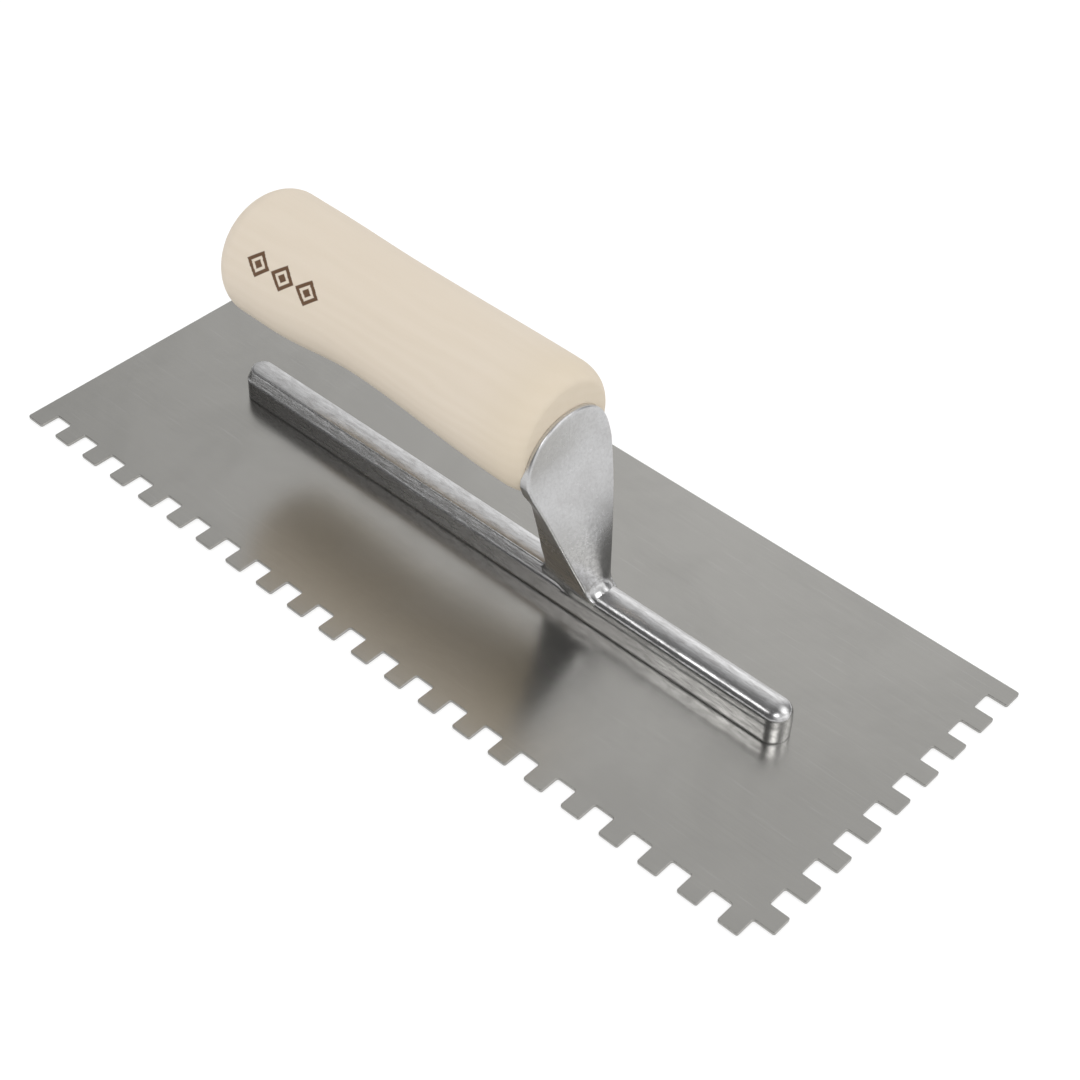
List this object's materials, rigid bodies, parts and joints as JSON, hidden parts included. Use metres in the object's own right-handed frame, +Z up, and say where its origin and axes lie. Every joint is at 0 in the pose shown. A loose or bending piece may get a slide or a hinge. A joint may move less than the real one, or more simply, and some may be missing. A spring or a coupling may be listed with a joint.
{
  "type": "notched trowel",
  "caption": "Flat rectangular steel trowel with square notches along one long and one short edge, a cast mounting with a leaf-shaped flange and a rounded wooden handle.",
  "frame": {"origin": "middle of the blade's length and width, on its underside, which is the face that the trowel rests on", "axes": "+X along the blade towards the toothed short edge, the toothed long edge is at -Y, +Z up from the blade to the handle"},
  "size_m": [0.2794, 0.1142, 0.0781],
  "materials": {
    "blade_steel": "satin rolled steel with soft blurred reflections",
    "cast_metal": "bright tumbled casting, lightly scratched",
    "pale_wood": "smooth sanded pale hardwood, matt",
    "rod_steel": "plain drawn steel"
  },
  "bodies": {
    "root": {"blade": "blade_steel", "mounting": "cast_metal", "handle": "pale_wood", "tang": "rod_steel", "rivet_1": "rod_steel", "rivet_2": "rod_steel", "rivet_3": "rod_steel", "rivet_4": "rod_steel", "rivet_5": "rod_steel", "rivet_6": "rod_steel", "rivet_7": "rod_steel"}
  },
  "joints": []
}
